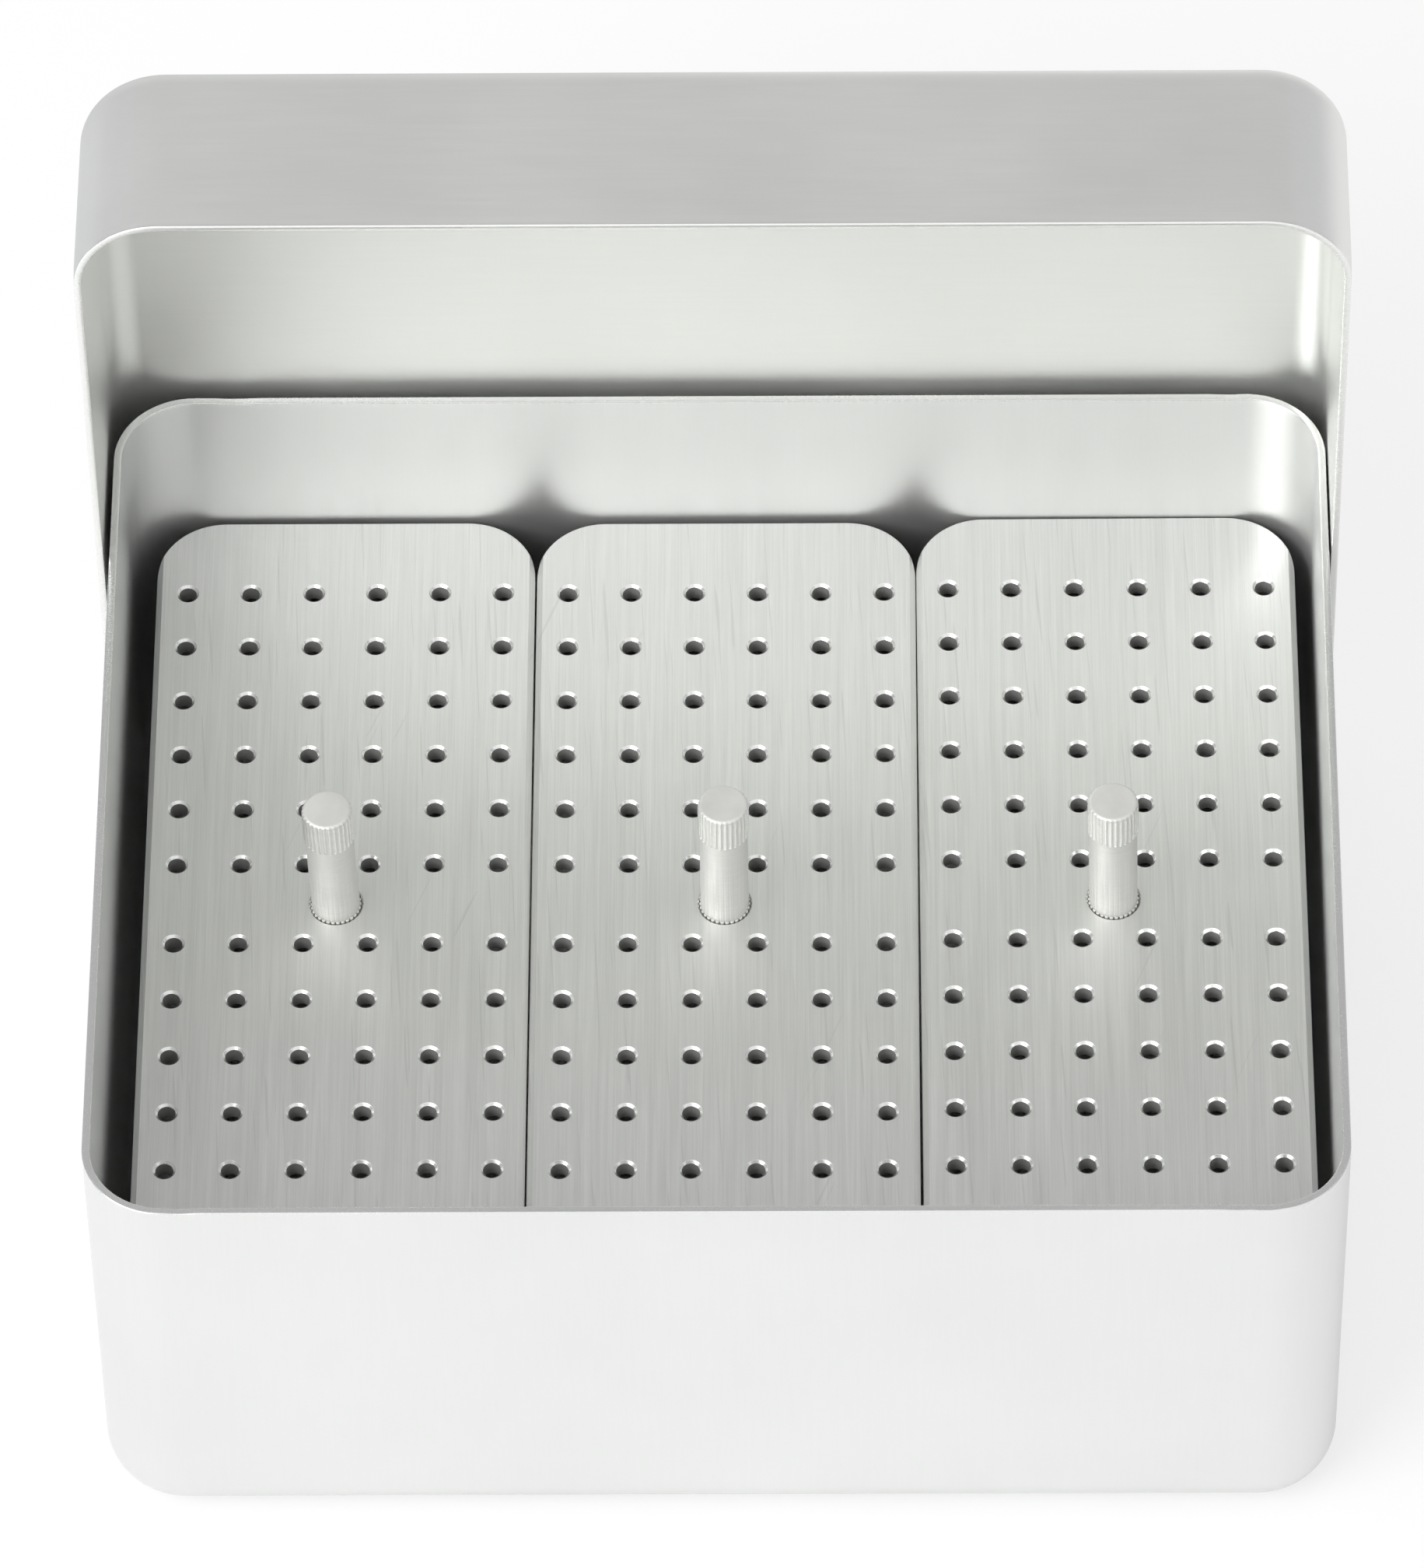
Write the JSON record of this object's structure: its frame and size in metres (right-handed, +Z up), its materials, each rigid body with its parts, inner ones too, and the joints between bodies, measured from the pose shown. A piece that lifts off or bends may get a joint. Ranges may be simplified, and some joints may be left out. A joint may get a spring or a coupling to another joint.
{
  "type": "endodontic file box",
  "caption": "Open box for endodontic files: a deep drawn tray with perforated racks and knurled lifting posts, its lid standing upright behind it.",
  "frame": {"origin": "middle of the footprint, on the surface that the box stands on", "axes": "+Z up, +X to the right along the long side, +Y to the back, towards the lid"},
  "size_m": [0.1258, 0.1044, 0.1043],
  "materials": {
    "tray_sheet": "satin anodised",
    "lid_sheet": "satin anodised",
    "rack_plate": "fine brushed, anodised",
    "turned_post": "turned, matt"
  },
  "bodies": {
    "root": {"file_tray": "tray_sheet", "lid": "lid_sheet", "rack_left": "rack_plate", "rack_middle": "rack_plate", "rack_right": "rack_plate", "post_left": "turned_post", "post_middle": "turned_post", "post_right": "turned_post"}
  },
  "joints": []
}
